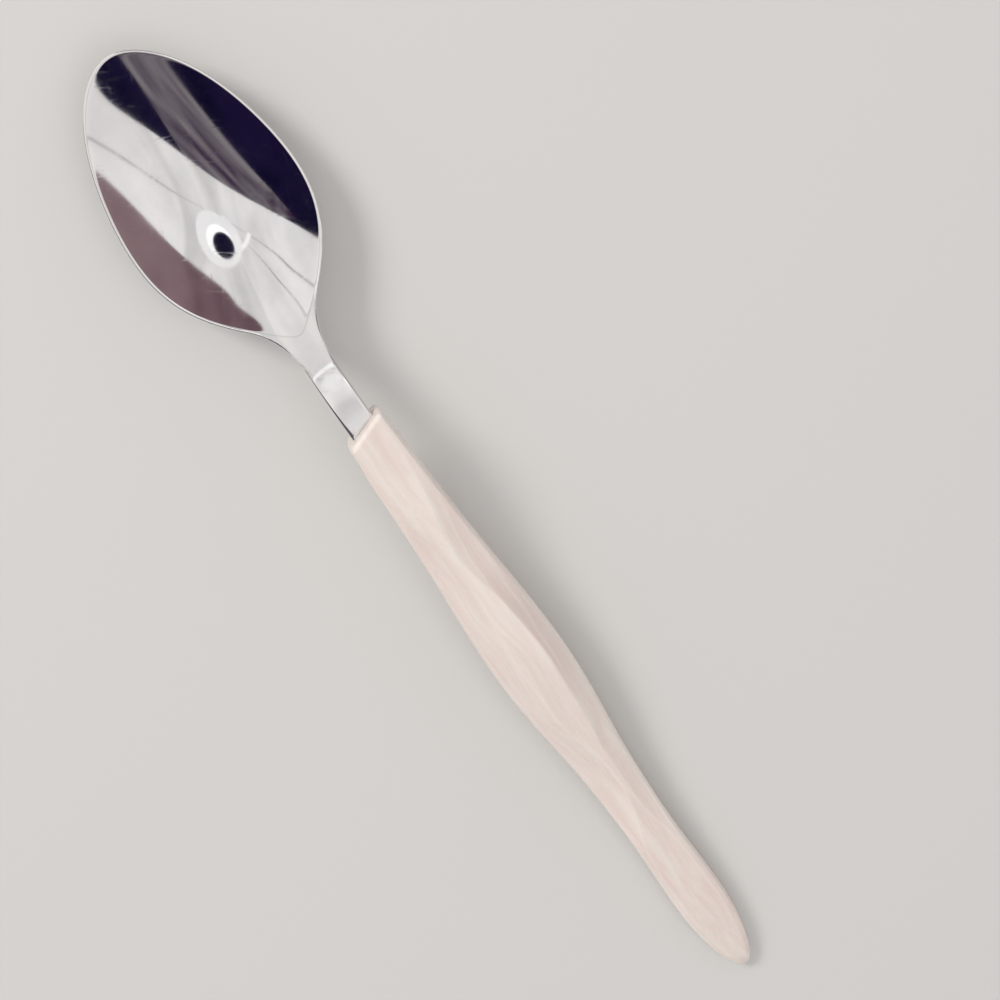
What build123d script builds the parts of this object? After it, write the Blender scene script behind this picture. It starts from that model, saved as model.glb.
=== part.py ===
from build123d import *
import os
from math import atan, cos, pi, radians, sin, sqrt

# A spoon with a stamped steel bowl and a moulded plastic handle, in millimetres.
# +X runs from the bowl's tip to the handle's end and +Z is up. The origin is on the table, under the
# middle of the spoon's length. Stations are distances along X from the bowl's tip.

# Overall
spoon_length = 180.0

# Bowl: an egg-shaped hollow inside a narrow lip
lip = 0.45
hollow_start = lip
hollow_end = 50.6
hollow_half_width = 14.24
egg_shape = (1.0, -0.13, -0.07, 0.34, -0.31)
hollow_depth = 6.6
wall_easing = 0.12
bowl_wall = 0.95
back_smoothing = 0.8

# Rim line seen from the side: a shallow dip that rises into the neck
rim_low = 7.68
rim_low_station = 27.0
rim_curve = 0.0016
neck_start = 41.0
neck_end = 68.0

# Neck and tang
sheet_at_lip = 0.9
sheet_at_neck = 2.2
sheet_change_start = 38.0
sheet_change_end = 56.0
neck_width = 4.8
shoulder_station = 46.0
neck_stop = 72.0
tang_width = 4.2
tang_stop = 118.0
tang_corner = 1.0
notch_radius = 0.8
notch_stations = (84.0, 88.0, 104.0, 108.0)

# Handle: height of its centre line above the table, from its end towards its mouth
centre_at_end = 1.25
centre_slope = 0.070
centre_curve = 0.00031
mouth_station = 67.8
mouth_slant = 12.0
mouth_rounding = 0.45
rounding_sections = 4

# Handle sections: first the mouth, then each with its station. Half width, half height, the sideways
# places of the top panel's two edges, and the facets' lower edge as a share of the half height
mouth_section = (4.02, 3.60, -2.90, 2.90, 0.92)
handle_sections = (
    (78.0, 4.28, 3.60, -2.50, 2.50, 0.85),
    (86.0, 4.57, 3.75, -1.30, 1.10, 0.65),
    (92.0, 4.90, 3.95, -0.50, 0.30, 0.50),
    (101.0, 5.54, 4.35, -0.70, 1.80, 0.42),
    (108.0, 5.97, 4.60, -1.50, 2.70, 0.40),
    (113.0, 6.11, 4.65, -1.90, 3.10, 0.40),
    (120.0, 5.94, 4.50, -1.90, 2.70, 0.40),
    (127.0, 5.36, 4.05, -1.60, 2.10, 0.40),
    (134.0, 4.62, 3.55, 0.10, 1.40, 0.42),
    (141.0, 4.16, 3.10, 0.50, 1.30, 0.48),
    (147.0, 3.94, 2.80, -0.90, 1.60, 0.60),
    (152.0, 3.90, 2.60, -2.30, 2.50, 0.75),
    (158.0, 4.07, 2.40, -3.00, 3.00, 0.78),
    (164.0, 4.20, 2.20, -3.10, 3.10, 0.78),
    (169.0, 4.00, 2.00, -2.90, 2.90, 0.78),
    (173.0, 3.45, 1.75, -2.40, 2.40, 0.78),
    (176.0, 2.72, 1.45, -1.80, 1.80, 0.78),
    (178.5, 1.67, 1.00, -1.00, 1.00, 0.78),
    (180.0, 0.70, 0.55, -0.40, 0.40, 0.78),
)
side_start = 0.92
side_upper = 0.84
side_lower = 0.50
facet_crown = 0.03

# Socket in the handle, and the cement round the tang
socket_width = 5.3
socket_height = 2.8
socket_stop = 119.5
cement_recess = 0.4

# Working surfaces and curves run a little past the part, through this many points
back_span = (-1.5, 75.0)
back_reach = 16.5
back_points = (40, 23)
hollow_span = (0.1, 52.5)
hollow_reach = 15.5
hollow_points = (30, 23)
crest_span = (-3.0, 75.0)
crest_points = 27
outline_points = 15
slope_step = 0.01
surface_tolerance = 0.005
above = 30.0
tang_overlap = 1.0
socket_lead = 4.0


def along(station):
    """X of a distance measured from the bowl's tip."""
    return station - spoon_length / 2


def egg_half_width_squared(station, start, end, half_width):
    """Square of the egg's half width: a circle's, times a short series that makes it blunt behind."""
    t = (station - start) / (end - start)
    c = 1 - 2 * t
    fullness = sum(part * c**power for power, part in enumerate(egg_shape))
    return half_width**2 * 4 * t * (1 - t) * fullness**2


def ease(station, start, end):
    """0 before start, 1 after end, and smooth between."""
    t = min(max((station - start) / (end - start), 0.0), 1.0)
    return t**3 * (10 - 15 * t + 6 * t * t)


def centre_height(station):
    """Height of the handle's centre line."""
    back = spoon_length - station
    return centre_at_end + centre_slope * back + centre_curve * back**2


tang_slope = centre_slope + 2 * centre_curve * (spoon_length - mouth_station)


def tang_height(station):
    """Height of the tang's middle: the straight line that leaves the handle's mouth."""
    return centre_height(mouth_station) - tang_slope * (station - mouth_station)


def top_height(station):
    """Height of the lip and of the neck's upper face."""
    rim = rim_low + rim_curve * (station - rim_low_station) ** 2
    neck = tang_height(station) + sheet_at_neck / 2
    share = ease(station, neck_start, neck_end)
    return rim * (1 - share) + neck * share


def sheet(station):
    """Thickness of the steel from the lip to the neck."""
    share = ease(station, sheet_change_start, sheet_change_end)
    return sheet_at_lip * (1 - share) + sheet_at_neck * share


def dish_height(station, y, start, end, half_width, depth):
    """Height of a dish: its depth follows the egg's half width, and its walls ease off towards the lip.
    Past the lip it rises steadily."""
    share = (egg_half_width_squared(station, start, end, half_width) - y**2) / half_width**2
    easing = wall_easing * (1 - max(share, 0.0))
    return top_height(station) - depth * share * (1 - easing)


def hollow_height(station, y):
    """Height of the hollow's surface."""
    return dish_height(station, y, hollow_start, hollow_end, hollow_half_width, hollow_depth)


def back_height(station, y):
    """Height of the bowl's back, run smoothly into the flat underside of the neck."""
    dish = dish_height(station, y, 0.0, hollow_end + lip, hollow_half_width + lip, hollow_depth + bowl_wall)
    flat = top_height(station) - sheet(station)
    return (dish + flat - sqrt((dish - flat) ** 2 + back_smoothing**2)) / 2


def steps(start, stop, count):
    """Evenly spaced values, both ends included."""
    return [start + (stop - start) * i / (count - 1) for i in range(count)]


def surface(height, span, reach, points):
    """A smooth face through a grid of heights, along the spoon and out to both sides."""
    sides = steps(-reach, reach, points[1])
    rows = [[(along(s), y, height(s, y)) for y in sides] for s in steps(*span, points[0])]
    return Face.make_surface_from_array_of_points(rows, tol=surface_tolerance)


def outline_half_width(station):
    """Half width of the bowl with its lip."""
    return sqrt(max(egg_half_width_squared(station, 0.0, hollow_end + lip, hollow_half_width + lip), 0.0))


def outline_slope(station):
    """Sideways change of the bowl's outline for each step along it."""
    rise = outline_half_width(station + slope_step) - outline_half_width(station - slope_step)
    return rise / (2 * slope_step)


def section_corners(half_width, half_height, panel_left, panel_right, facet_edge):
    """Corners of the handle's section: a flat panel, a crowned facet and a rounded side, on all four
    quarters."""
    edge_height = facet_edge * half_height
    corners = []
    for top in (1, -1):
        for right in (top, -top):
            panel_edge = panel_right if right > 0 else panel_left
            side_edge = right * side_start * half_width
            quarter = [
                (panel_edge, half_height),
                ((panel_edge + side_edge) / 2, (half_height + edge_height) / 2 + facet_crown * half_height),
                (side_edge, edge_height),
                ((right * half_width + side_edge) / 2, edge_height * side_upper),
                (right * half_width, edge_height * side_lower),
            ]
            if right == top:
                quarter.reverse()
            corners += [(y, top * z) for y, z in quarter]
    return corners


tang_plane = Plane(
    origin=(along(mouth_station), 0, tang_height(mouth_station)),
    x_dir=(1, 0, -tang_slope),
    z_dir=(tang_slope, 0, 1),
)
stretch = sqrt(1 + tang_slope**2)


def tang_run(station):
    """Distance along the tang from the handle's mouth."""
    return (station - mouth_station) * stretch


# Bowl, neck and tang: one stamping. The plan outline is cut from between the upper and the back
# surfaces, and the hollow is pressed into it.
back_face = surface(back_height, back_span, back_reach, back_points)
hollow_face = surface(hollow_height, hollow_span, hollow_reach, hollow_points)

with BuildPart() as bowl_and_tang:
    with BuildSketch(Plane.XY.offset(-above / 2)):
        with BuildLine():
            egg_stations = [shoulder_station * (1 - cos(turn)) / 2 for turn in steps(0, pi, outline_points)]
            egg = Spline(*[(along(s), outline_half_width(s)) for s in egg_stations])
            turn = atan(-outline_slope(shoulder_station))
            shoulder_radius = (outline_half_width(shoulder_station) - neck_width / 2) / (1 - cos(turn))
            neck_side = (along(shoulder_station) + shoulder_radius * sin(turn), neck_width / 2)
            TangentArc(egg @ 1, neck_side, tangent=egg % 1)
            Polyline(neck_side, (along(neck_stop), neck_width / 2), (along(neck_stop), 0))
            mirror(about=Plane.XZ)
        make_face()
    extrude(amount=2 * above)
    with BuildSketch(Plane.XZ):
        with BuildLine():
            crest = [(along(s), top_height(s)) for s in steps(*crest_span, crest_points)]
            Spline(*crest)
            Polyline(crest[-1], (crest[-1][0], -above), (crest[0][0], -above), crest[0])
        make_face()
    extrude(amount=above, both=True, mode=Mode.INTERSECT)
    back_block = extrude(back_face, amount=above, dir=(0, 0, 1), mode=Mode.PRIVATE)
    add(back_block, mode=Mode.INTERSECT)
    hollow_block = extrude(hollow_face, amount=above, dir=(0, 0, 1), mode=Mode.PRIVATE)
    add(hollow_block, mode=Mode.SUBTRACT)
    with BuildSketch(tang_plane) as tang:
        tang_start = tang_run(neck_stop - tang_overlap)
        tang_end = tang_run(tang_stop)
        with Locations(((tang_start + tang_end) / 2, 0)):
            Rectangle(tang_end - tang_start, tang_width)
        chamfer(tang.vertices().group_by(Axis.X)[-1], length=tang_corner)
        tang_sides = (-tang_width / 2, tang_width / 2)
        with Locations(*[(tang_run(s), y) for s in notch_stations for y in tang_sides]):
            Circle(notch_radius, mode=Mode.SUBTRACT)
    extrude(amount=sheet_at_neck / 2, both=True)

# The socket is a straight blind pocket along the tang.
with BuildPart() as socket:
    with BuildSketch(tang_plane):
        pocket_start = tang_run(mouth_station - socket_lead)
        pocket_end = tang_run(socket_stop)
        with Locations(((pocket_start + pocket_end) / 2, 0)):
            Rectangle(pocket_end - pocket_start, socket_width)
    extrude(amount=socket_height / 2, both=True)

# Handle: a skin through its sections. The first ones stand on the slant of the mouth and round its edge.
mouth_across = Vector(-sin(radians(mouth_slant)), cos(radians(mouth_slant)), 0)
mouth_inward = Vector(cos(radians(mouth_slant)), sin(radians(mouth_slant)), -tang_slope)


def mouth_plane(depth):
    """A plane on the slant of the mouth, a given depth inside the handle."""
    start = Vector(along(mouth_station), 0, centre_height(mouth_station))
    return Plane(origin=start + mouth_inward.normalized() * depth, x_dir=mouth_across, z_dir=mouth_inward)


mouth_width, mouth_height, *mouth_shape = mouth_section
mouth_planes = []
for turn in steps(0, pi / 2, rounding_sections):
    inset = mouth_rounding * (1 - sin(turn))
    shape = (mouth_width - inset, mouth_height - inset, *mouth_shape)
    mouth_planes.append((mouth_plane(mouth_rounding * (1 - cos(turn))), shape))
grip_planes = [mouth_planes[-1]]
for station, *shape in handle_sections:
    origin = (along(station), 0, centre_height(station))
    grip_planes.append((Plane(origin=origin, x_dir=(0, 1, 0), z_dir=(1, 0, 0)), shape))

with BuildPart() as handle:
    for planes, straight in ((mouth_planes, True), (grip_planes, False)):
        for plane, shape in planes:
            with BuildSketch(plane):
                with BuildLine():
                    Polyline(*section_corners(*shape), close=True)
                make_face()
        loft(ruled=straight)
    add(socket.part, mode=Mode.SUBTRACT)

# Cement: fills the socket round the tang, and stops just inside the mouth.
with BuildPart() as socket_cement:
    add(socket.part)
    split(bisect_by=mouth_plane(cement_recess), keep=Keep.TOP)
    add(bowl_and_tang.part, mode=Mode.SUBTRACT)

bowl_and_tang.part.label = "bowl_and_tang"
handle.part.label = "handle"
socket_cement.part.label = "socket_cement"

os.makedirs("parts", exist_ok=True)
export_step(bowl_and_tang.part, "parts/bowl_and_tang.step")
export_step(handle.part, "parts/handle.step")
export_step(socket_cement.part, "parts/socket_cement.step")
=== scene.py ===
import bpy
import numpy as np
from mathutils import Matrix, Vector


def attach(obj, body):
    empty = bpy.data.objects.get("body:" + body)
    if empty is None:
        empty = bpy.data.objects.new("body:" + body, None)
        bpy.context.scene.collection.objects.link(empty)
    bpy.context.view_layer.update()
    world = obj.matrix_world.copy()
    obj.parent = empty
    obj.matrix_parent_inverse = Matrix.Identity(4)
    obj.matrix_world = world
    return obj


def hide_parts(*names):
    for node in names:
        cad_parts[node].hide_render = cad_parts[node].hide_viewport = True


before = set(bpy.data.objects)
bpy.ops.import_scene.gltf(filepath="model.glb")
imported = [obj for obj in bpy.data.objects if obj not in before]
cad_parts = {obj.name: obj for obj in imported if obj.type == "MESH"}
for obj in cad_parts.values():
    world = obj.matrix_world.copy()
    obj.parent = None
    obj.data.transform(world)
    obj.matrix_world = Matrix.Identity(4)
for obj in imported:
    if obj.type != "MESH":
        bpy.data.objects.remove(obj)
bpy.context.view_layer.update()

# A spoon with a stamped steel bowl and a pearly plastic handle. Lengths below are in millimetres and
# stations are distances along X from the bowl's tip; meshes are written in metres.
mm = 0.001
spoonLength = 180.0


def along(station):
    # X of a distance measured from the bowl's tip
    return station - spoonLength / 2


def ease(station, start, end):
    # t cubed times (10 - 15 t + 6 t squared), which is 0 before start and 1 after end
    t = np.clip((station - start) / (end - start), 0.0, 1.0)
    return t**3 * (10 - 15 * t + 6 * t * t)


def naturalCubic(knots, values, places):
    # The natural cubic spline: second derivatives from one linear system, then the usual cubic in each span
    gap = np.diff(knots)
    count = len(knots)
    system = np.eye(count)
    inner = np.arange(1, count - 1)
    system[inner, inner - 1] = gap[:-1]
    system[inner, inner] = 2 * (gap[:-1] + gap[1:])
    system[inner, inner + 1] = gap[1:]
    slope = np.diff(values, axis=0) / gap[:, None]
    right = np.zeros_like(values)
    right[1:-1] = 6 * np.diff(slope, axis=0)
    bend = np.linalg.solve(system, right)
    span = np.clip(np.searchsorted(knots, places) - 1, 0, count - 2)
    width = gap[span][:, None]
    before = (places - knots[span])[:, None]
    after = (knots[span + 1] - places)[:, None]
    curved = (bend[span] * after**3 + bend[span + 1] * before**3) / (6 * width)
    low = (values[span] / width - bend[span] * width / 6) * after
    high = (values[span + 1] / width - bend[span + 1] * width / 6) * before
    return curved + low + high


def gridFaces(rows, columns, turned=False):
    # Quads between neighbouring rows; the columns close on themselves
    row, column = np.meshgrid(np.arange(rows - 1), np.arange(columns), indexing="ij")
    following = (column + 1) % columns
    corners = [row * columns + column, row * columns + following,
               (row + 1) * columns + following, (row + 1) * columns + column]
    if turned:
        corners = corners[::-1]
    return np.stack(corners, axis=-1)


def poleFaces(pole, ring, turned=False):
    # Triangles from one point to a closed ring
    following = np.roll(ring, -1)
    near, far = (following, ring) if turned else (ring, following)
    return np.stack([np.full(len(ring), pole), far, near], axis=-1)


def makePiece(name, points, quads, triangles, attributes, material, node):
    # Drops unused points, writes the mesh with whole arrays and gives it to its CAD body
    used, renumbered = np.unique(np.concatenate([quads.ravel(), triangles.ravel()]), return_inverse=True)
    corners = renumbered.astype(np.int32)
    sizes = np.concatenate([np.full(len(quads), 4), np.full(len(triangles), 3)]).astype(np.int32)
    starts = (np.cumsum(sizes) - sizes).astype(np.int32)
    mesh = bpy.data.meshes.new(name)
    mesh.vertices.add(len(used))
    mesh.vertices.foreach_set("co", (points[used] * mm).astype(np.float32).ravel())
    mesh.loops.add(len(corners))
    mesh.loops.foreach_set("vertex_index", corners)
    mesh.polygons.add(len(sizes))
    mesh.polygons.foreach_set("loop_start", starts)
    mesh.polygons.foreach_set("use_smooth", np.ones(len(sizes), bool))
    for label, values in attributes.items():
        layer = mesh.attributes.new(label, "FLOAT", "POINT")
        layer.data.foreach_set("value", values[used].astype(np.float32))
    mesh.update(calc_edges=True)
    mesh.validate()
    piece = bpy.data.objects.new(name, mesh)
    bpy.context.scene.collection.objects.link(piece)
    mesh.materials.append(material)
    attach(piece, "root")
    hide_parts(node)
    return piece


# Steel: bowl, neck and tang, stamped from one sheet
steel = {
    "lip": 0.45,                 # flat land round the hollow
    "hollowEnd": 50.6,
    "hollowHalfWidth": 14.24,
    "eggShape": (1.0, -0.13, -0.07, 0.34, -0.31),
    "hollowDepth": 6.6,
    "wallEasing": 0.12,          # how much gentler the wall is at the lip
    "bowlWall": 0.95,
    "backSmoothing": 0.8,
    "creaseSoftness": 0.05,      # how far the hollow's edge is rounded over
    "rimLow": 7.68,
    "rimLowStation": 27.0,
    "rimCurve": 0.0016,
    "neckStart": 41.0,
    "neckEnd": 68.0,
    "sheetAtLip": 0.9,
    "sheetAtNeck": 2.2,
    "sheetChange": (38.0, 56.0),
    "neckHalfWidth": 2.4,
    "shoulderStation": 46.0,
    "cutStation": 57.0,          # where the bowl's rings give way to the neck's rows
    "neckStop": 72.0,
    "tangHalfWidth": 2.1,
    "tangStop": 118.0,
    "tangCorner": 1.0,
    "notchRadius": 0.8,
    "notchStations": (84.0, 88.0, 104.0, 108.0),
    "edgeAtLip": 0.22,           # radius of the sheet's outer edges
    "edgeAtNeck": 0.42,
    "ringCentre": 27.0,          # station that the rings close on
    "edgeChange": (44.0, 54.0),
    "wornWidth": 1.0,            # how far in from the outline the steel is rubbed bright
    "creaseShadeWidth": 0.10,         # width of the painted shade line along the hollow's edge
    "skew": (0.16, 0.10),        # how far the neck's bend is skewed at its sides: first and third power
    "skewSpan": (51.0, 56.0, 58.0, 63.0),
    "skewReach": 1.2,
    "sideColumns": 150,
    "shoulderColumns": 40,
    "crossColumns": 13,
    "ringCount": 60,
    "ringCrowding": 3.0,
    "landRows": 18,
    "edgeRows": 11,
}

# Centre line of the handle, and the straight tang that leaves its mouth
centre = {"atEnd": 1.25, "slope": 0.070, "curve": 0.00031, "mouthStation": 67.8}


def centreHeight(station):
    # Height of the handle's centre line: a parabola that rises from its end
    back = spoonLength - station
    return centre["atEnd"] + centre["slope"] * back + centre["curve"] * back**2


tangSlope = centre["slope"] + 2 * centre["curve"] * (spoonLength - centre["mouthStation"])


def tangHeight(station):
    # Height of the tang's middle: the tangent of the centre line at the mouth
    return centreHeight(centre["mouthStation"]) - tangSlope * (station - centre["mouthStation"])


def eggSquared(station, start, end, halfWidth):
    # Half width squared: a circle's 4 t (1 - t), times a short series in 1 - 2 t that blunts the back
    t = (station - start) / (end - start)
    c = np.clip(1 - 2 * t, -1.0, 1.0)
    fullness = sum(part * c**power for power, part in enumerate(steel["eggShape"]))
    return halfWidth**2 * 4 * t * (1 - t) * fullness**2


def topHeight(station):
    # A parabola for the rim, eased over into the straight line of the neck
    rim = steel["rimLow"] + steel["rimCurve"] * (station - steel["rimLowStation"]) ** 2
    share = ease(station, steel["neckStart"], steel["neckEnd"])
    return rim * (1 - share) + (tangHeight(station) + steel["sheetAtNeck"] / 2) * share


def sheetThickness(station):
    share = ease(station, *steel["sheetChange"])
    return steel["sheetAtLip"] * (1 - share) + steel["sheetAtNeck"] * share


def dishDrop(station, y, start, end, halfWidth, depth):
    # Depth times share times (1 - easing (1 - share)); share is (egg squared - y squared) / width squared,
    # and the easing stays what it is at the lip from there outwards
    share = (eggSquared(station, start, end, halfWidth) - y**2) / halfWidth**2
    return depth * share * (1 - steel["wallEasing"] * (1 - np.maximum(share, 0.0)))


def skewHeight(station, y):
    # The neck's upper face bends a little sooner on one side: its height is read further along by a y + b y
    # cubed, in half widths, eased in and out along the neck
    begin, full, fade, stop = steel["skewSpan"]
    u = np.clip(y / steel["neckHalfWidth"], -steel["skewReach"], steel["skewReach"])
    first, third = steel["skew"]
    shift = (first * u + third * u**3) * ease(station, begin, full) * (1 - ease(station, fade, stop))
    return topHeight(station + shift) - topHeight(station)


def upperSurface(station, y):
    # The land's height, less the hollow's drop d kept positive: half of d plus the root of d squared plus
    # the softness squared
    halfWidth, depth = steel["hollowHalfWidth"], steel["hollowDepth"]
    drop = dishDrop(station, y, steel["lip"], steel["hollowEnd"], halfWidth, depth)
    land = topHeight(station) + skewHeight(station, y)
    return land - (drop + np.sqrt(drop**2 + steel["creaseSoftness"] ** 2)) / 2


def backSurface(station, y):
    # The smooth lesser of the outer dish and the sheet's flat underside
    end, halfWidth = steel["hollowEnd"] + steel["lip"], steel["hollowHalfWidth"] + steel["lip"]
    depth = steel["hollowDepth"] + steel["bowlWall"]
    dish = topHeight(station) - dishDrop(station, y, 0.0, end, halfWidth, depth)
    flat = topHeight(station) - sheetThickness(station)
    return (dish + flat - np.sqrt((dish - flat) ** 2 + steel["backSmoothing"] ** 2)) / 2


def eggOutline(turn, start, end, halfWidth):
    # Station by a half cosine of the turn, and the egg's half width there
    station = start + (end - start) * (1 - np.cos(turn)) / 2
    return station, np.sqrt(np.maximum(eggSquared(station, start, end, halfWidth), 0.0))


def shoulderPath(count):
    # From the bowl's side, an arc tangent to it and to the neck's side, then straight to the cut
    end, halfWidth = steel["hollowEnd"] + steel["lip"], steel["hollowHalfWidth"] + steel["lip"]
    begin, step = steel["shoulderStation"], 0.01   # step of the slope measured at the bowl's side
    near = np.sqrt(eggSquared(np.array([begin - step, begin, begin + step]), 0.0, end, halfWidth))
    angle = np.arctan(-(near[2] - near[0]) / (2 * step))
    radius = (near[1] - steel["neckHalfWidth"]) / (1 - np.cos(angle))
    arcStop = begin + radius * np.sin(angle)
    straight = steel["cutStation"] - arcStop
    distance = np.linspace(0.0, radius * angle + straight, count)
    left = np.maximum(angle - distance / radius, 0.0)
    station = arcStop - radius * np.sin(left) + np.maximum(distance - radius * angle, 0.0)
    return station, steel["neckHalfWidth"] + radius * (1 - np.cos(left))


def halfOutline(sideCount, shoulderCount, crossCount):
    # One side's matching points, from tip to heel: on the hollow's edge, and on the blank's outline
    end, halfWidth = steel["hollowEnd"] + steel["lip"], steel["hollowHalfWidth"] + steel["lip"]
    lastTurn = np.arccos(1 - 2 * steel["shoulderStation"] / end)
    sideTurns = np.linspace(0.0, lastTurn, sideCount)
    finePoints, crossShare = 2000, 1.35    # the heel faces straight down the neck over this share of it
    fineTurns = np.linspace(lastTurn, np.pi, finePoints)
    fineY = eggOutline(fineTurns, steel["lip"], steel["hollowEnd"], steel["hollowHalfWidth"])[1]
    crossY = crossShare * steel["neckHalfWidth"]
    heelY = np.concatenate([np.linspace(fineY[0], crossY, shoulderCount)[1:],
                            np.linspace(crossY, 0.0, crossCount + 1)[1:]])
    heelTurns = np.interp(-heelY, -fineY, fineTurns)
    turns = np.concatenate([sideTurns, heelTurns])
    inner = np.stack(eggOutline(turns, steel["lip"], steel["hollowEnd"], steel["hollowHalfWidth"]), axis=-1)
    side = np.stack(eggOutline(sideTurns, 0.0, end, halfWidth), axis=-1)
    shoulder = np.stack(shoulderPath(shoulderCount), axis=-1)[1:]
    crossing = np.linspace(steel["neckHalfWidth"], 0.0, crossCount + 1)[1:]
    cut = np.stack([np.full(crossCount, steel["cutStation"]), crossing], axis=-1)
    return inner, np.concatenate([side, shoulder, cut])


def steelBlank(material):
    # Rings round the bowl, from the hollow's middle over the lip to the back's middle, then rows along the
    # neck
    sideCount, shoulderCount = steel["sideColumns"], steel["shoulderColumns"]
    crossCount = steel["crossColumns"]
    inner, outer = halfOutline(sideCount, shoulderCount, crossCount)
    corner = sideCount + shoulderCount - 2          # column where the neck's side meets the cut
    heel = len(outer) - 1
    columns = 2 * heel
    tangent = np.gradient(outer[: corner + 1], axis=0)
    outward = np.zeros_like(outer)
    outward[: corner + 1] = np.stack([-tangent[:, 1], tangent[:, 0]], axis=-1)
    outward[: corner + 1] /= np.linalg.norm(outward[: corner + 1], axis=1)[:, None]
    outward[0] = (-1.0, 0.0)
    outward[corner] = (0.0, 1.0)
    flipped = np.array([1.0, -1.0])
    halves = (inner, outer, outward)
    inner, outer, outward = [np.concatenate([half, half[-2:0:-1] * flipped]) for half in halves]
    growth = steel["edgeAtNeck"] - steel["edgeAtLip"]
    radius = steel["edgeAtLip"] + growth * ease(outer[:, 0], *steel["edgeChange"])
    crossing = np.linalg.norm(outward, axis=1) < 0.5
    land = outer - outward * radius[:, None]
    shrink = (steel["neckHalfWidth"] - radius) / steel["neckHalfWidth"]
    land[crossing, 1] = outer[crossing, 1] * shrink[crossing]
    middle = np.array([steel["ringCentre"], 0.0])

    # Distances from the crease grow by an exponential law, so that the rings crowd at the lip
    ringCount, crowding = steel["ringCount"], steel["ringCrowding"]
    fall = (np.exp(crowding * np.arange(ringCount) / ringCount) - 1) / (np.exp(crowding) - 1)
    hollowRings = middle + (1 - fall[::-1])[:, None, None] * (inner - middle)
    landShare = (1 - np.cos(np.linspace(0.0, np.pi, steel["landRows"])[1:])) / 2
    landRings = inner + landShare[:, None, None] * (land - inner)
    edgeTurn = np.linspace(np.pi / 2, -np.pi / 2, steel["edgeRows"])[:, None]
    edgeInset = radius * (1 - np.cos(edgeTurn))
    edgeRings = outer - outward * edgeInset[:, :, None]
    edgeRings[:, crossing] = land[crossing]
    backRings = middle + (1 - fall[1:])[:, None, None] * (land - middle)

    upper = np.concatenate([hollowRings, landRings[:-1]])
    upperZ = upperSurface(upper[..., 0], upper[..., 1])
    landZ = upperSurface(land[:, 0], land[:, 1])
    underZ = backSurface(land[:, 0], land[:, 1])
    roundOff = radius * (1 - np.abs(np.sin(edgeTurn)))
    edgeZ = np.where(edgeTurn > 0, landZ, underZ) - np.sign(edgeTurn) * roundOff
    middleRow = len(edgeTurn) // 2
    edgeZ[middleRow] = (edgeZ[middleRow - 1] + edgeZ[middleRow + 1]) / 2
    backZ = backSurface(backRings[..., 0], backRings[..., 1])
    plan = np.concatenate([upper, edgeRings, backRings])
    height = np.concatenate([upperZ, edgeZ, backZ])
    rings = np.concatenate([along(plan[..., :1]), plan[..., 1:], height[..., None]], axis=-1)
    rows = len(rings)
    firstEdge = len(upper)
    lastEdge = firstEdge + len(edgeTurn) - 1

    quads = gridFaces(rows, columns)
    acrossNeck = np.arange(corner, columns - corner)
    quads[firstEdge:lastEdge, acrossNeck] = -1      # opened, because the neck carries on from here
    quads = quads.reshape(-1, 4)
    quads = quads[quads[:, 0] >= 0]

    # The opening's edge, once round: over the top, down one side, back under and up the other
    acrossTop = np.arange(corner, columns - corner + 1)
    downSide = np.arange(firstEdge + 1, lastEdge)
    loop = np.concatenate([firstEdge * columns + acrossTop, downSide * columns + (columns - corner),
                           lastEdge * columns + acrossTop[::-1], downSide[::-1] * columns + corner])
    points = rings.reshape(-1, 3)
    section = points[loop]
    cut = steel["cutStation"]
    onTop = section[:, 2] > tangHeight(cut)
    lift = section[:, 2] - (topHeight(cut) - steel["sheetAtNeck"] / 2)
    lift -= np.where(onTop, skewHeight(cut, section[:, 1]), 0.0)

    # Rows along the neck and tang: the same section, narrowed for the tang and by its round notches
    neckStep, tangStep, lastStep = 0.2, 0.3, 0.02
    stations = np.concatenate([np.arange(cut + neckStep, steel["neckStop"], neckStep),
                               np.arange(steel["neckStop"], steel["tangStop"], tangStep),
                               steel["tangStop"] - np.array([lastStep, 0.0])])
    narrow = np.full(len(stations), steel["neckHalfWidth"])
    step = ease(stations, steel["neckStop"] - neckStep, steel["neckStop"] + neckStep)
    narrow -= (steel["neckHalfWidth"] - steel["tangHalfWidth"]) * step
    fromNotch = np.abs(stations[:, None] - np.array(steel["notchStations"])).min(axis=1)
    narrow -= np.sqrt(np.maximum(steel["notchRadius"] ** 2 - fromNotch**2, 0.0))
    narrow -= np.maximum(stations - (steel["tangStop"] - steel["tangCorner"]), 0.0)
    neckX = np.broadcast_to(along(stations)[:, None], (len(stations), len(loop)))
    neckY = section[:, 1] * (narrow / steel["neckHalfWidth"])[:, None]
    neckZ = (topHeight(stations) - steel["sheetAtNeck"] / 2)[:, None] + lift
    neckZ += np.where(onTop, skewHeight(stations[:, None], section[:, 1]), 0.0)
    neckPoints = np.stack([neckX, neckY, neckZ], axis=-1).reshape(-1, 3)
    offset = len(points)
    numbers = np.concatenate([loop, offset + np.arange(len(neckPoints))])
    neckQuads = numbers[gridFaces(len(stations) + 1, len(loop)).reshape(-1, 4)]

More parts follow.
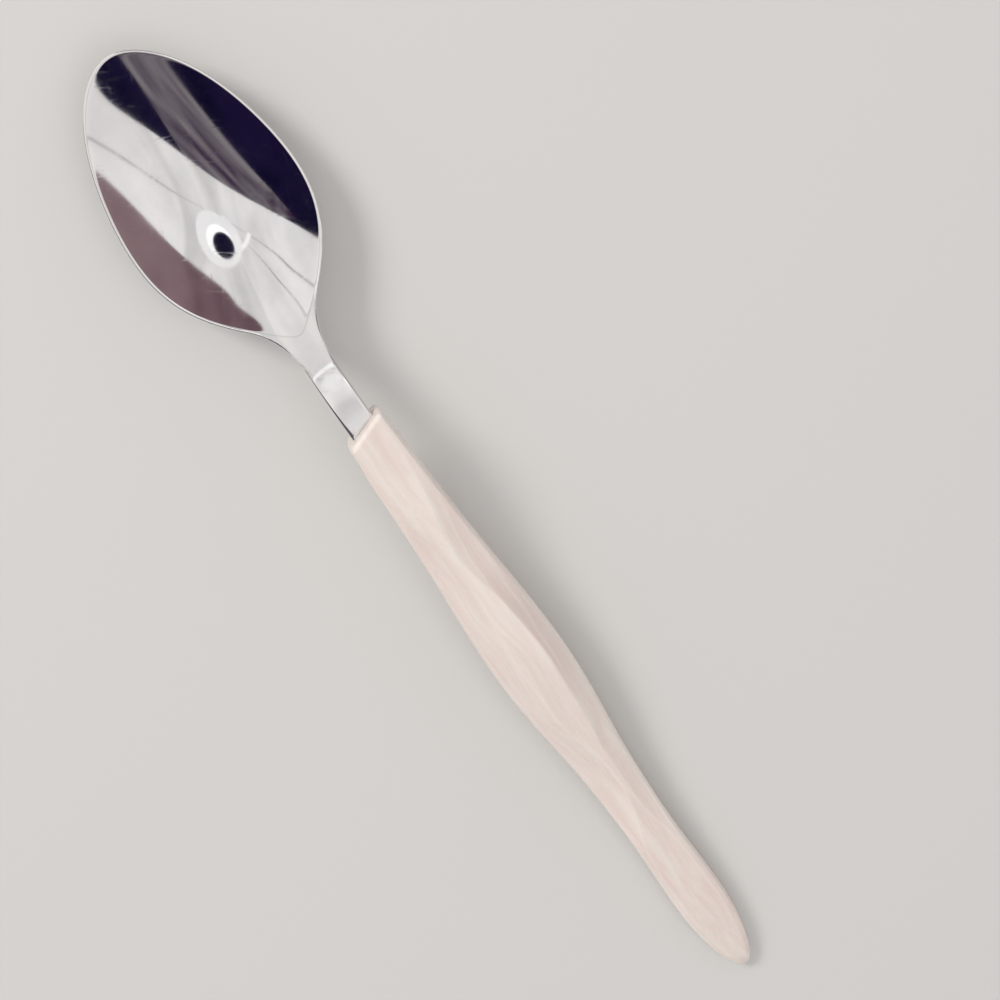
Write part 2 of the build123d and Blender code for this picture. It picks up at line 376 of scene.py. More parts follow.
    # Poles: the hollow's middle, the back's middle and the tang's end
    topPole, backPole, tangPole = offset + len(neckPoints) + np.arange(3)
    poles = np.array([
        [along(middle[0]), 0.0, upperSurface(middle[0], 0.0)],
        [along(middle[0]), 0.0, backSurface(middle[0], 0.0)],
        [along(steel["tangStop"]), 0.0, tangHeight(steel["tangStop"])],
    ])
    points = np.concatenate([points, neckPoints, poles])
    triangles = np.concatenate([
        poleFaces(topPole, columns + np.arange(columns)),
        poleFaces(backPole, (rows - 1) * columns + np.arange(columns), turned=True),
        poleFaces(tangPole, numbers[-len(loop):], turned=True),
    ])
    quads = np.concatenate([quads[quads.min(axis=1) >= columns], neckQuads])

    # Worn bright near the outline, and painted shade in the hollow's crease: a bell curve of the distance
    # from each
    toSide = steel["neckHalfWidth"] - np.abs(plan[..., 1])
    toOutline = np.where(crossing, toSide, np.linalg.norm(plan - outer, axis=-1))
    neckToSide = narrow[:, None] - np.abs(neckY)
    distance = np.concatenate([toOutline.ravel(), neckToSide.ravel(), np.full(3, steel["neckStop"])])
    creaseShade = np.zeros(len(points))
    toCrease = np.linalg.norm(plan[:firstEdge] - inner, axis=-1)
    creaseShade[: firstEdge * columns] = np.exp(-((toCrease / steel["creaseShadeWidth"]) ** 2)).ravel()
    attributes = {"worn": np.exp(-((distance / steel["wornWidth"]) ** 2)), "creaseShade": creaseShade}
    return makePiece("steel_blank", points, quads, triangles, attributes, material,
                     "bowl_and_tang")


# Plastic handle: a moulded bar with a top panel, slanted facets and soft ridges
grip = {
    # station, half width, half height, the panel's two edges, and the facets' lower edge as a share
    "sections": (
        (67.8, 4.02, 3.60, -2.90, 2.90, 0.92),
        (78.0, 4.28, 3.60, -2.50, 2.50, 0.85),
        (86.0, 4.57, 3.75, -1.30, 1.10, 0.65),
        (92.0, 4.90, 3.95, -0.50, 0.30, 0.50),
        (101.0, 5.54, 4.35, -0.70, 1.80, 0.42),
        (108.0, 5.97, 4.60, -1.50, 2.70, 0.40),
        (113.0, 6.11, 4.65, -1.90, 3.10, 0.40),
        (120.0, 5.94, 4.50, -1.90, 2.70, 0.40),
        (127.0, 5.36, 4.05, -1.60, 2.10, 0.40),
        (134.0, 4.62, 3.55, 0.10, 1.40, 0.42),
        (141.0, 4.16, 3.10, 0.50, 1.30, 0.48),
        (147.0, 3.94, 2.80, -0.90, 1.60, 0.60),
        (152.0, 3.90, 2.60, -2.30, 2.50, 0.75),
        (158.0, 4.07, 2.40, -3.00, 3.00, 0.78),
        (164.0, 4.20, 2.20, -3.10, 3.10, 0.78),
        (169.0, 4.00, 2.00, -2.90, 2.90, 0.78),
        (173.0, 3.45, 1.75, -2.40, 2.40, 0.78),
        (176.0, 2.72, 1.45, -1.80, 1.80, 0.78),
        (178.5, 1.67, 1.00, -1.00, 1.00, 0.78),
        (180.0, 0.00, 0.00, 0.00, 0.00, 0.78),
    ),
    "endRatio": 0.57,            # the panel's edge over the half width, at the rounded end
    "sideStart": 0.92,           # where the side begins, as a share of the half width
    "sideLower": 0.50,           # where the side stands upright, as a share of the facet's lower edge
    "ridgePower": 60.0,          # higher is a sharper ridge
    "mouthSlant": 20.0,
    "mouthAdvance": 0.5,
    "mouthRounding": 0.8,
    "slantFade": 78.0,           # station where the sections stand square again
    "openingHalf": (2.49, 1.13), # a close lip round the steel
    "openingPower": 10.0,        # lower is a rounder corner
    "socketHalf": (2.65, 1.40),
    "lipDepth": 0.4,
    "socketPower": 24.0,
    "socketStop": 119.5,
    "columns": 176,
    "endRows": 26,
    "endLength": 3.0,
    "bodyRows": 330,
    "edgeRows": 9,
}


def facetedSection(turn, left, right, lowerEdge):
    # Radius in each direction: the sum of (a cos + b sin) to a high power, over the flat faces a y + b z = 1
    # in units of the half width and half height, to minus one over that power
    y, z = np.cos(turn), np.sin(turn)
    start, power = grip["sideStart"], grip["ridgePower"]
    bevelA = (1 - grip["sideLower"]) / (1 - grip["sideLower"] * start)
    bevelB = (1 - bevelA) / (grip["sideLower"] * lowerEdge)
    total = np.zeros(np.broadcast_shapes(turn.shape, lowerEdge.shape))
    largest = np.zeros_like(total)
    for sign, edge in ((1, right), (-1, -left)):
        facetA = (1 - lowerEdge) / (start - edge * lowerEdge)
        facetB = 1 - facetA * edge
        for a, b in ((facetA, facetB), (bevelA, bevelB), (1.0, 0.0)):
            for up in ((1, -1) if np.any(b) else (1,)):
                part = np.maximum(a * sign * y + b * up * z, 0.0) ** power
                total = total + part
                largest = np.maximum(largest, part)
    part = np.abs(z) ** power
    total = total + part
    largest = np.maximum(largest, part)
    return total ** (-1 / power), 2 * (1 - largest / total)


def boxSection(turn, halfWidth, halfHeight, power):
    # Radius of a rectangle with rounded corners, by the same law with four faces
    total = np.abs(np.cos(turn) / halfWidth) ** power + np.abs(np.sin(turn) / halfHeight) ** power
    return total ** (-1 / power)


def plasticHandle(material):
    # Rows from the rounded end to the mouth, over its edge, into the socket and to the socket's floor
    table = np.array(grip["sections"])
    knots = table[:, 0]
    values = table[:, 1:].copy()
    tiny = 1e-6
    ratio = values[:, 2:4] / np.maximum(values[:, :1], tiny)
    ratio[-1] = (-grip["endRatio"], grip["endRatio"])
    values[:, :2] = values[:, :2] ** 2     # squares, so that the end closes round
    values[:, 2:4] = ratio
    mouth, rounding = centre["mouthStation"] - grip["mouthAdvance"], grip["mouthRounding"]
    columns = grip["columns"]
    turn = np.linspace(0.0, 2 * np.pi, columns, endpoint=False)[None, :]

    endRows = spoonLength - np.linspace(0.0, 1.0, grip["endRows"])[1:] ** 2 * grip["endLength"]
    bodyRows = np.linspace(endRows[-1], mouth + rounding, grip["bodyRows"])[1:]
    edgeTurn = np.linspace(0.0, np.pi / 2, grip["edgeRows"])[1:]
    edgeDepth = rounding * (1 - np.sin(edgeTurn))
    edgeInset = rounding * (1 - np.cos(edgeTurn))
    stations = np.concatenate([endRows, bodyRows, mouth + edgeDepth])
    inset = np.concatenate([np.zeros(len(endRows) + len(bodyRows)), edgeInset])
    shape = naturalCubic(knots, values, stations)
    half = np.sqrt(np.maximum(shape[:, :2], 0.0)) - inset[:, None]
    radius, ridge = facetedSection(turn, shape[:, 2:3], shape[:, 3:4], shape[:, 4:5])
    across = half[:, :1] * radius * np.cos(turn)
    up = half[:, 1:] * radius * np.sin(turn)
    rowX, rowZ = along(stations), centreHeight(stations)
    tilt = 1 - ease(stations, mouth, grip["slantFade"])

    # Inside: mouth face, close lip, socket walls and floor
    bevel, ledge, wallStart, wallRows, faceRows = 0.05, 0.01, 1.0, 12, 8
    lipRows = [(bevel, 0.0), (0.0, bevel), (0.0, grip["lipDepth"] - ledge)]
    socketDepths = np.linspace(wallStart, grip["socketStop"] - mouth, wallRows)
    innerDepth = np.concatenate([[depth for swell, depth in lipRows], [grip["lipDepth"]], socketDepths])
    innerHalf = np.array([np.array(grip["openingHalf"]) + swell for swell, depth in lipRows]
                         + [grip["socketHalf"]] * (wallRows + 1))
    power = np.where(np.arange(len(innerHalf)) < len(lipRows), grip["openingPower"], grip["socketPower"])
    boxRadius = boxSection(turn, innerHalf[:, :1], innerHalf[:, 1:], power[:, None])
    innerAcross, innerUp = boxRadius * np.cos(turn), boxRadius * np.sin(turn)
    share = np.linspace(0.0, 1.0, faceRows)[1:-1, None]
    faceAcross = across[-1:] * (1 - share) + innerAcross[:1] * share
    faceUp = up[-1:] * (1 - share) + innerUp[:1] * share
    across = np.concatenate([across, faceAcross, innerAcross])
    up = np.concatenate([up, faceUp, innerUp])
    insideStations = mouth + np.concatenate([np.zeros(len(share)), innerDepth])
    rowX = np.concatenate([rowX, along(insideStations)])
    rowZ = np.concatenate([rowZ, tangHeight(insideStations)])
    tilt = np.concatenate([tilt, np.ones(len(insideStations))])[:, None]

    # A row leans with the mouth's slant: across turns by the slant, up leans by the tang's slope. The inner
    # rows also follow the tang's fall from one side to the other
    sine, cosine = np.sin(np.radians(grip["mouthSlant"])), np.cos(np.radians(grip["mouthSlant"]))
    follow = np.concatenate([np.zeros(len(stations)), share[:, 0], np.ones(len(innerDepth))])[:, None]
    x = rowX[:, None] + tilt * (tangSlope * cosine * up - sine * across)
    y = across * (1 - tilt * (1 - cosine)) + tilt * tangSlope * sine * up
    z = rowZ[:, None] + up + follow * tangSlope * sine * across
    points = np.stack([x, y, z], axis=-1)
    rows = len(points)
    endPole, floorPole = rows * columns + np.arange(2)
    stop = grip["socketStop"]
    poles = np.array([[along(spoonLength), 0.0, centreHeight(spoonLength)],
                      [along(stop), 0.0, tangHeight(stop)]])
    triangles = np.concatenate([
        poleFaces(endPole, np.arange(columns), turned=True),
        poleFaces(floorPole, (rows - 1) * columns + np.arange(columns)),
    ])
    wear = np.zeros((rows, columns))
    wear[: len(ridge)] = ridge
    wear[len(endRows) + len(bodyRows):len(ridge)] = 1.0
    allPoints = np.concatenate([points.reshape(-1, 3), poles])
    allWear = np.concatenate([wear.ravel(), np.zeros(2)])
    quads = gridFaces(rows, columns, turned=True).reshape(-1, 4)
    return makePiece("pearl_handle", allPoints, quads, triangles, {"ridge": allWear}, material,
                     "handle")


class NodeSheet:
    # A short way to add nodes to a material and to join them
    def __init__(self, name):
        self.material = bpy.data.materials.new(name)
        self.material.use_nodes = True
        self.tree = self.material.node_tree
        self.shader = self.tree.nodes["Principled BSDF"]

    def add(self, kind, links=None, **settings):
        node = self.tree.nodes.new(kind)
        for label, value in settings.items():
            setattr(node, label, value)
        for socket, value in (links or {}).items():
            self.feed(node, socket, value)
        return node

    def feed(self, node, socket, value):
        if isinstance(value, bpy.types.NodeSocket):
            self.tree.links.new(value, node.inputs[socket])
        else:
            node.inputs[socket].default_value = value

    def place(self, scale=(1.0, 1.0, 1.0), turn=(0.0, 0.0, 0.0)):
        # Turns the object's own coordinates first, then stretches them
        coordinates = self.add("ShaderNodeTexCoord").outputs["Object"]
        if any(turn):
            coordinates = self.add("ShaderNodeMapping", {"Vector": coordinates, "Rotation": turn}).outputs[0]
        return self.add("ShaderNodeMapping", {"Vector": coordinates, "Scale": scale}).outputs[0]

    def noise(self, vector, scale, detail=4.0, roughness=0.5, distortion=0.0):
        links = {"Vector": vector, "Scale": scale, "Detail": detail,
                 "Roughness": roughness, "Distortion": distortion}
        return self.add("ShaderNodeTexNoise", links).outputs["Fac"]

    def remap(self, value, low, high, toLow=0.0, toHigh=1.0):
        links = {"Value": value, "From Min": low, "From Max": high, "To Min": toLow, "To Max": toHigh}
        return self.add("ShaderNodeMapRange", links).outputs[0]

    def math(self, operation, first, second):
        return self.add("ShaderNodeMath", {0: first, 1: second}, operation=operation).outputs[0]

    def blend(self, share, first, second):
        # Mixes two colours; the node keeps its colour sockets after those for numbers and vectors
        firstColor, secondColor, mixedColor = 6, 7, 2
        node = self.add("ShaderNodeMix", {"Factor": share}, data_type="RGBA")
        self.feed(node, firstColor, first)
        self.feed(node, secondColor, second)
        return node.outputs[mixedColor]

    def attribute(self, name):
        return self.add("ShaderNodeAttribute", attribute_name=name).outputs["Fac"]


steelFinish = {
    "light": (0.87, 0.86, 0.85, 1.0),
    "shade": (0.76, 0.76, 0.77, 1.0),
    # painted shade: the grey that darkens the hollow's crease
    "creaseShadeColor": (0.42, 0.41, 0.41, 1.0),
    "creaseShadeShare": 0.32,
    "roughness": (0.045, 0.12),
    "cloudNoise": (90.0, 5.0, 0.6),      # scale, detail and roughness, as in every noise below
    "cloudRange": (0.3, 0.75),
    "toneRange": (0.35, 0.75),
    "scratchTurns": (0.35, -0.9, 1.9),
    "scratchStretch": (0.05, 1.6, 0.4),
    "scratchNoise": (1900.0, 2.0, 0.4),
    "scratchRange": (0.66, 0.78),
    "scratchRoughness": 0.10,
    "scratchHeight": 0.00002,
    "scratchStrength": 0.05,
    "wornTone": 0.35,
}


def polishedSteel():
    # Mirror-polished sheet: cloudy roughness, three families of hair scratches, brighter where it is worn
    # and darkened by painted shade in the hollow's crease
    sheet = NodeSheet("polished_steel")
    cloud = sheet.noise(sheet.place(), *steelFinish["cloudNoise"])
    scratches = None
    for turn in steelFinish["scratchTurns"]:
        direction = sheet.place(steelFinish["scratchStretch"], (0.0, 0.0, turn))
        line = sheet.noise(direction, *steelFinish["scratchNoise"])
        family = sheet.remap(line, *steelFinish["scratchRange"])
        scratches = family if scratches is None else sheet.math("MAXIMUM", scratches, family)
    worn = sheet.math("MULTIPLY", sheet.attribute("worn"), steelFinish["wornTone"])
    tone = sheet.remap(sheet.math("ADD", cloud, worn), *steelFinish["toneRange"])
    polished = sheet.blend(tone, steelFinish["shade"], steelFinish["light"])
    # Painted shade: the hollow's crease is darkened towards that grey
    creaseShade = sheet.math("MULTIPLY", sheet.attribute("creaseShade"), steelFinish["creaseShadeShare"])
    sheet.feed(sheet.shader, "Base Color", sheet.blend(creaseShade, polished, steelFinish["creaseShadeColor"]))
    rubbed = sheet.math("MULTIPLY", scratches, steelFinish["scratchRoughness"])
    smoothness = sheet.remap(cloud, *steelFinish["cloudRange"], *steelFinish["roughness"])
    sheet.feed(sheet.shader, "Roughness", sheet.math("ADD", smoothness, rubbed))
    sheet.feed(sheet.shader, "Metallic", 1.0)
    relief = {"Height": scratches, "Distance": steelFinish["scratchHeight"],
              "Strength": steelFinish["scratchStrength"]}
    sheet.feed(sheet.shader, "Normal", sheet.add("ShaderNodeBump", relief, invert=True).outputs[0])
    return sheet.material


pearlFinish = {
    "cream": (0.84, 0.745, 0.68, 1.0),
    "pink": (0.79, 0.65, 0.61, 1.0),
    "pale": (0.92, 0.86, 0.81, 1.0),
    "streakStretch": (0.06, 1.0, 1.0),
    "streakNoise": (620.0, 4.0, 0.55, 0.3),      # the fourth number is distortion
    "streakRange": (0.42, 0.74),
    "streakShare": 0.62,
    "broadNoise": (220.0, 3.0, 0.5, 0.5),
    "broadRange": (0.30, 0.66),
    "glintNoise": (900.0, 3.0, 0.6),
    "glintRange": (0.3, 0.7),
    "swirl": 0.005,
    "swirlScale": 95.0,
    "swirlDetail": 2.0,
    "swirlStretch": (0.35, 1.0, 1.0),
    "grainNoise": (1500.0, 3.0, 0.6),
    "roughness": (0.22, 0.36),
    "glow": 0.12,                # light passed through the plastic, and how deep each colour goes
    "glowDepth": (0.0016, 0.0009, 0.0007),
    "sheen": (0.10, 0.4),        # weight and roughness
    "coat": (0.3, 0.12),
    "ridgePale": 0.30,           # how much paler the rubbed ridges are
    "ridgeSmooth": 0.06,
    "reliefHeight": 0.00006,
    "reliefStrength": 0.25,
    "reliefShares": (0.6, 0.4),  # streaks and grain
}


def pearlPlastic():
    # Pearl streaks: noise stretched along the handle, after slow noise has pushed it sideways. Pink and
    # cream change slowly, pale streaks lie over them, and the ridges are rubbed paler and smoother
    sheet = NodeSheet("pearl_plastic")
    slowLinks = {"Vector": sheet.place(pearlFinish["swirlStretch"]), "Scale": pearlFinish["swirlScale"],
                 "Detail": pearlFinish["swirlDetail"]}
    slow = sheet.add("ShaderNodeTexNoise", slowLinks).outputs["Color"]
    aroundZero = {0: slow, 1: (0.5, 0.5, 0.5)}
    centred = sheet.add("ShaderNodeVectorMath", aroundZero, operation="SUBTRACT").outputs[0]
    scaled = {0: centred, "Scale": pearlFinish["swirl"]}
    pushed = sheet.add("ShaderNodeVectorMath", scaled, operation="SCALE").outputs[0]
    coordinates = sheet.add("ShaderNodeTexCoord").outputs["Object"]
    both = {0: coordinates, 1: pushed}
    moved = sheet.add("ShaderNodeVectorMath", both, operation="ADD").outputs[0]
    mapping = sheet.add("ShaderNodeMapping", {"Vector": moved, "Scale": pearlFinish["streakStretch"]})
    stretched = mapping.outputs[0]
    streaks = sheet.noise(stretched, *pearlFinish["streakNoise"])
    broad = sheet.noise(stretched, *pearlFinish["broadNoise"])
    glints = sheet.noise(stretched, *pearlFinish["glintNoise"])
    creamy = sheet.remap(broad, *pearlFinish["broadRange"])
    cloudy = sheet.blend(creamy, pearlFinish["pink"], pearlFinish["cream"])
    overlay = sheet.remap(streaks, *pearlFinish["streakRange"], 0.0, pearlFinish["streakShare"])
    streaky = sheet.blend(overlay, cloudy, pearlFinish["pale"])
    ridge = sheet.attribute("ridge")
    paler = sheet.math("MULTIPLY", ridge, pearlFinish["ridgePale"])
    sheet.feed(sheet.shader, "Base Color", sheet.blend(paler, streaky, pearlFinish["pale"]))
    smoother = sheet.math("MULTIPLY", ridge, pearlFinish["ridgeSmooth"])
    satin = sheet.remap(glints, *pearlFinish["glintRange"], *pearlFinish["roughness"])
    sheet.feed(sheet.shader, "Roughness", sheet.math("SUBTRACT", satin, smoother))
    sheet.feed(sheet.shader, "Subsurface Weight", pearlFinish["glow"])
    sheet.feed(sheet.shader, "Subsurface Radius", pearlFinish["glowDepth"])
    sheet.feed(sheet.shader, "Subsurface Scale", 1.0)
    sheet.feed(sheet.shader, "Sheen Weight", pearlFinish["sheen"][0])
    sheet.feed(sheet.shader, "Sheen Roughness", pearlFinish["sheen"][1])
    sheet.feed(sheet.shader, "Coat Weight", pearlFinish["coat"][0])
    sheet.feed(sheet.shader, "Coat Roughness", pearlFinish["coat"][1])
    fine = sheet.noise(sheet.place(), *pearlFinish["grainNoise"])
    streakPart, grainPart = pearlFinish["reliefShares"]
    raised = sheet.math("MULTIPLY", streaks, streakPart)
    height = sheet.math("ADD", raised, sheet.math("MULTIPLY", fine, grainPart))
    relief = {"Height": height, "Distance": pearlFinish["reliefHeight"],
              "Strength": pearlFinish["reliefStrength"]}
    sheet.feed(sheet.shader, "Normal", sheet.add("ShaderNodeBump", relief).outputs[0])
    return sheet.material


cementFinish = {
    "pale": (0.46, 0.40, 0.33, 1.0),
    "dark": (0.28, 0.24, 0.20, 1.0),
    "mottleNoise": (900.0, 5.0, 0.6),
    "mottleRange": (0.35, 0.65),
    "grainNoise": (5200.0, 3.0, 0.6),
    "grainRange": (0.3, 0.7),
    "roughness": (0.6, 0.85),
    "reliefHeight": 0.0001,
    "reliefStrength": 0.5,
}


def socketCement():
    # Matt cured resin: mottled in two browns, with fine grain
    sheet = NodeSheet("cement")
    mottle = sheet.noise(sheet.place(), *cementFinish["mottleNoise"])
    grain = sheet.noise(sheet.place(), *cementFinish["grainNoise"])
    paler = sheet.remap(mottle, *cementFinish["mottleRange"])
    sheet.feed(sheet.shader, "Base Color", sheet.blend(paler, cementFinish["dark"], cementFinish["pale"]))
    matt = sheet.remap(grain, *cementFinish["grainRange"], *cementFinish["roughness"])
    sheet.feed(sheet.shader, "Roughness", matt)
    relief = {"Height": grain, "Distance": cementFinish["reliefHeight"],
              "Strength": cementFinish["reliefStrength"]}
    sheet.feed(sheet.shader, "Normal", sheet.add("ShaderNodeBump", relief).outputs[0])
    return sheet.material


print("materials")
steelMaterial, pearlMaterial, cementMaterial = polishedSteel(), pearlPlastic(), socketCement()
print("steel blank")
steelBlank(steelMaterial)
print("handle")
plasticHandle(pearlMaterial)
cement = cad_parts["socket_cement"]
cement.data.materials.clear()
cement.data.materials.append(cementMaterial)

# Stage: pale floor, soft light, and plain boards for the polished steel to mirror. A board is given by
# degrees round from the camera's foot towards its right, and by degrees down from straight overhead
studio = {
    "floorColor": (0.66, 0.65, 0.635, 1.0),
    "floorHalf": 3.0,
    "floorLevel": -0.00008,
    "floorRoughness": 0.75,
    "worldColor": (1.0, 0.985, 0.97, 1.0),
    "worldStrength": 0.56,
    "cameraAt": (-77.6, 30.25, 392.0),
    "cameraAim": (1.6, 10.25, 0.0),
    "cameraUp": (-0.828, 0.5606, 0.0),
    "lens": 89.97,
    "sensor": 36.0,
    "nearClip": 0.01,
    "stageCentreHeight": 0.005,  # just above the bowl's floor
    "domeRadius": 0.9,
    "ceilingShare": 1.10,        # distances, as shares of that radius
    "wallShare": 1.05,
    "stripShare": 0.9,
    "wideShare": 0.52,
    "ringShare": 0.5,
    "ringShadeShare": 0.48,
    "nearWall": (-5, 27),        # the way its straight top edge faces, and how far down the edge is there
    "farWall": (150, 52),
    "wallFoot": 90.3,
    "nearWallSpan": (-90, 65),
    "farWallSpan": (95, 205),
    "boardSpan": (-80, 15),      # a plain grey board in front of the near wall
    "boardFoot": (-30, 60),
    "stripSpan": (-168, -108),   # a narrow bright strip overhead
    "stripEdges": (31, 34.5),
    "seams": (-128, -112, 86),   # joints between the ceiling's sheets
    "seamWidth": 1.6,
    "seamTop": 8,
    "ring": (176, 23, 0.108),    # a round glow with a round shade in front of it
    "ringShade": (-176, 26, 0.082),
    "wideGlow": (176, 21, 0.19),         # a paler, wider round behind both
    "keyPower": 7.6,
    "keyPlace": (-0.45, -0.85, 0.8),     # down, right and up from the bowl
    "keySize": 0.45,
    "keyColor": (1.0, 0.985, 0.96),
    "topPower": 1.6,
    "topPlace": (0.15, 0.12, 0.95),
    "topSize": 0.8,
    # Each board's two tones, noise scale, stretch and turn
    "boards": {
        "white_board": ((0.72, 0.695, 0.69, 1.0), (0.95, 0.93, 0.92, 1.0), 1.3,
                        (2.5, 0.6, 1.0), (0.0, 0.0, -0.9)),
        "pale_board": ((0.97, 0.955, 0.95, 1.0), (1.06, 1.05, 1.04, 1.0), 2.0),
        "seam_board": ((0.42, 0.38, 0.39, 1.0), (0.60, 0.57, 0.57, 1.0), 4.0),
        "navy_board": ((0.004, 0.003, 0.020, 1.0), (0.010, 0.006, 0.034, 1.0), 3.0),
        "grey_board": ((0.045, 0.025, 0.055, 1.0), (0.25, 0.225, 0.24, 1.0), 2.2,
                       (0.35, 4.0, 4.0), (0.0, 0.0, -0.45)),
        "rose_board": ((0.13, 0.07, 0.09, 1.0), (0.25, 0.17, 0.185, 1.0), 1.5),
        "bright_board": ((1.25, 1.25, 1.25, 1.0), (1.35, 1.35, 1.35, 1.0), 1.0),
        "strip_board": ((1.10, 1.09, 1.08, 1.0), (1.18, 1.17, 1.16, 1.0), 1.0),
    },
    "boardNoise": (3.0, 0.5, 0.4),       # detail, roughness and distortion
    "boardRange": (0.35, 0.65),
}


def straightEdge(azimuth, facing, polar):
    # A level straight edge seen from the bowl: the tangent of its angle from overhead grows as one over the
    # cosine of the turn away from it, and it stops short of the horizon
    smallest, horizon = 0.05, 89.0
    turned = np.maximum(np.cos(np.radians(azimuth - facing)), smallest)
    return np.minimum(np.degrees(np.arctan(np.tan(np.radians(polar)) / turned)), horizon)


def glowMaterial(name, low, high, scale, stretch=(1.0, 1.0, 1.0), turn=(0.0, 0.0, 0.0)):
    # Light of two tones, mixed by stretched noise
    sheet = NodeSheet(name)
    tones = sheet.noise(sheet.place(stretch, turn), scale, *studio["boardNoise"])
    share = sheet.remap(tones, *studio["boardRange"])
    sheet.feed(sheet.shader, "Base Color", (0.0, 0.0, 0.0, 1.0))
    sheet.feed(sheet.shader, "Roughness", 1.0)
    sheet.feed(sheet.shader, "Specular IOR Level", 0.0)
    sheet.feed(sheet.shader, "Emission Color", sheet.blend(share, low, high))
    sheet.feed(sheet.shader, "Emission Strength", 1.0)
    return sheet.material


def stageMesh(name, points, faces, material, reflectedOnly=True):
    # A stage shape; a reflected one shows only in gloss, so it throws no shade
    mesh = bpy.data.meshes.new(name)
    mesh.from_pydata(np.asarray(points).tolist(), [], np.asarray(faces).tolist())
    item = bpy.data.objects.new(name, mesh)
    bpy.context.scene.collection.objects.link(item)
    mesh.materials.append(material)
    if reflectedOnly:
        item.visible_camera = False
        item.visible_diffuse = False
        item.visible_shadow = False
    return item


def areaLight(name, place, size, power, color=(1.0, 1.0, 1.0)):
    # A round soft light aimed at the origin, left out of the steel's reflections
    data = bpy.data.lights.new(name, "AREA")
    data.shape = "DISK"
    data.size = size
    data.energy = power
    data.color = color
    lamp = bpy.data.objects.new(name, data)
    bpy.context.scene.collection.objects.link(lamp)
    lamp.location = place
    lamp.rotation_mode = "QUATERNION"
    lamp.rotation_quaternion = (-Vector(place)).to_track_quat("-Z", "Y")
    lamp.visible_glossy = False
    return lamp


def makeCamera():
    # Returns the camera's right and up
    cameraAt = Vector(studio["cameraAt"]) * mm
    forward = (Vector(studio["cameraAim"]) * mm - cameraAt).normalized()
    rightward = forward.cross(Vector(studio["cameraUp"])).normalized()
    upward = rightward.cross(forward)
    data = bpy.data.cameras.new("camera")
    data.lens = studio["lens"]
    data.sensor_width = studio["sensor"]
    data.clip_start = studio["nearClip"]
    camera = bpy.data.objects.new("camera", data)
    bpy.context.scene.collection.objects.link(camera)
    turned = Matrix((rightward, upward, -forward)).transposed().to_4x4()
    camera.matrix_world = Matrix.Translation(cameraAt) @ turned
    bpy.context.scene.camera = camera
    return np.array(rightward), np.array(upward)


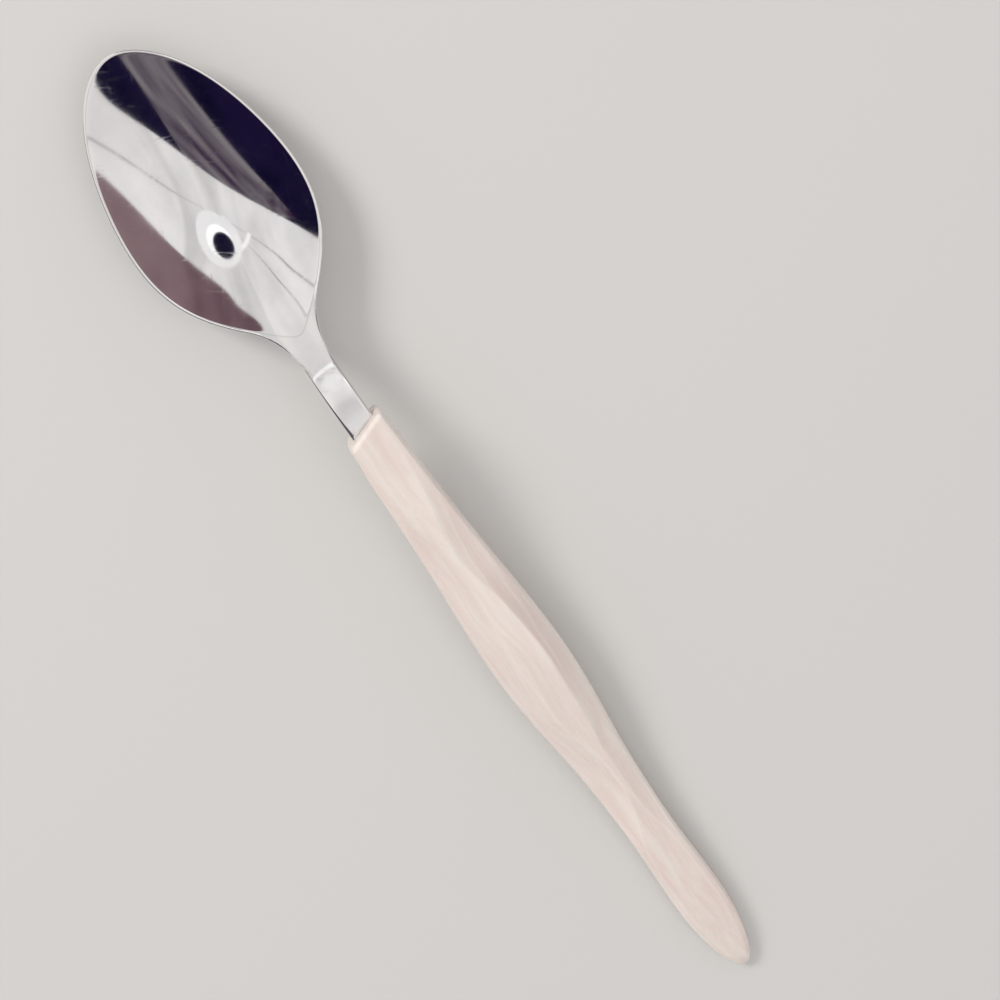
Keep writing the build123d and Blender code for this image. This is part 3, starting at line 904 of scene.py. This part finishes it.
def makeStage():
    rightward, upward = makeCamera()
    right = np.array([rightward[0], rightward[1], 0.0])
    right /= np.linalg.norm(right)
    down = np.array([-upward[0], -upward[1], 0.0])
    down /= np.linalg.norm(down)
    bowl = np.array([along(steel["ringCentre"]) * mm, 0.0, studio["stageCentreHeight"]])
    rows, columns, discPoints = 25, 121, 64

    reach, level = studio["floorHalf"], studio["floorLevel"]
    floorSheet = NodeSheet("floor")
    floorSheet.feed(floorSheet.shader, "Base Color", studio["floorColor"])
    floorSheet.feed(floorSheet.shader, "Roughness", studio["floorRoughness"])
    square = ((-reach, -reach), (reach, -reach), (reach, reach), (-reach, reach))
    corners = [(x, y, level) for x, y in square]
    stageMesh("floor", corners, [(0, 1, 2, 3)], floorSheet.material, reflectedOnly=False)

    world = bpy.data.worlds.new("studio")
    bpy.context.scene.world = world
    world.use_nodes = True
    world.node_tree.nodes["Background"].inputs[0].default_value = studio["worldColor"]
    world.node_tree.nodes["Background"].inputs[1].default_value = studio["worldStrength"]

    def toward(azimuth, polar):
        # Unit direction: cos polar up, sin polar sideways, turned by the azimuth from down to right
        a, p = np.radians(azimuth)[..., None], np.radians(polar)[..., None]
        return np.sin(p) * (np.cos(a) * down + np.sin(a) * right) + np.cos(p) * np.array([0.0, 0.0, 1.0])

    def domePatch(name, distance, azimuths, upperEdge, lowerEdge, material):
        # Rows of directions between an upper and a lower edge, which are functions of the azimuth
        azimuth = np.linspace(*azimuths, columns)
        upper = upperEdge(azimuth)
        lower = np.maximum(lowerEdge(azimuth), upper)
        share = np.linspace(0.0, 1.0, rows)[:, None]
        polar = upper * (1 - share) + lower * share
        points = bowl + toward(np.broadcast_to(azimuth, polar.shape), polar) * distance
        faces = gridFaces(rows, columns)[:, :-1].reshape(-1, 4)
        return stageMesh(name, points.reshape(-1, 3), faces, material)

    def disc(name, distance, azimuth, polar, radius, material):
        # A round board square to its direction
        middle = toward(np.array(azimuth), np.array(polar))
        side = np.cross(middle, right)
        side /= np.linalg.norm(side)
        other = np.cross(middle, side)
        turn = np.linspace(0.0, 2 * np.pi, discPoints, endpoint=False)[:, None]
        points = bowl + middle * distance + radius * (np.cos(turn) * side + np.sin(turn) * other)
        return stageMesh(name, points, [list(range(discPoints))], material)

    def levelEdge(polar):
        return lambda azimuth: np.full(len(azimuth), float(polar))

    def wallEdge(name):
        return lambda azimuth: straightEdge(azimuth, *studio[name])

    overhead, horizon = levelEdge(0.0), levelEdge(studio["wallFoot"])
    radius = studio["domeRadius"]
    ceilingAt, wallAt = radius * studio["ceilingShare"], radius * studio["wallShare"]
    board = {name: glowMaterial(name, *tones) for name, tones in studio["boards"].items()}
    navy, allRound = board["navy_board"], (-180, 180)
    domePatch("ceiling", ceilingAt, allRound, overhead, horizon, board["white_board"])
    domePatch("near_wall", wallAt, studio["nearWallSpan"], wallEdge("nearWall"), horizon, navy)
    domePatch("far_wall", wallAt, studio["farWallSpan"], wallEdge("farWall"), horizon, board["rose_board"])
    domePatch("board", radius, studio["boardSpan"], wallEdge("nearWall"), wallEdge("boardFoot"),
              board["grey_board"])
    domePatch("strip", radius * studio["stripShare"], studio["stripSpan"],
              *map(levelEdge, studio["stripEdges"]), board["strip_board"])
    for number, azimuth in enumerate(studio["seams"]):
        span = (azimuth, azimuth + studio["seamWidth"])
        domePatch(f"seam_{number}", radius, span, levelEdge(studio["seamTop"]), horizon, board["seam_board"])
    disc("wide_glow", radius * studio["wideShare"], *studio["wideGlow"], board["pale_board"])
    disc("round_glow", radius * studio["ringShare"], *studio["ring"], board["bright_board"])
    disc("round_shade", radius * studio["ringShadeShare"], *studio["ringShade"], navy)

    away, side, above = studio["keyPlace"]
    keyPlace = bowl + down * away + right * side + np.array([0.0, 0.0, above])
    areaLight("key", tuple(keyPlace), studio["keySize"], studio["keyPower"], studio["keyColor"])
    areaLight("top", studio["topPlace"], studio["topSize"], studio["topPower"])


print("stage")
makeStage()
bpy.context.scene.view_settings.view_transform = "Standard"
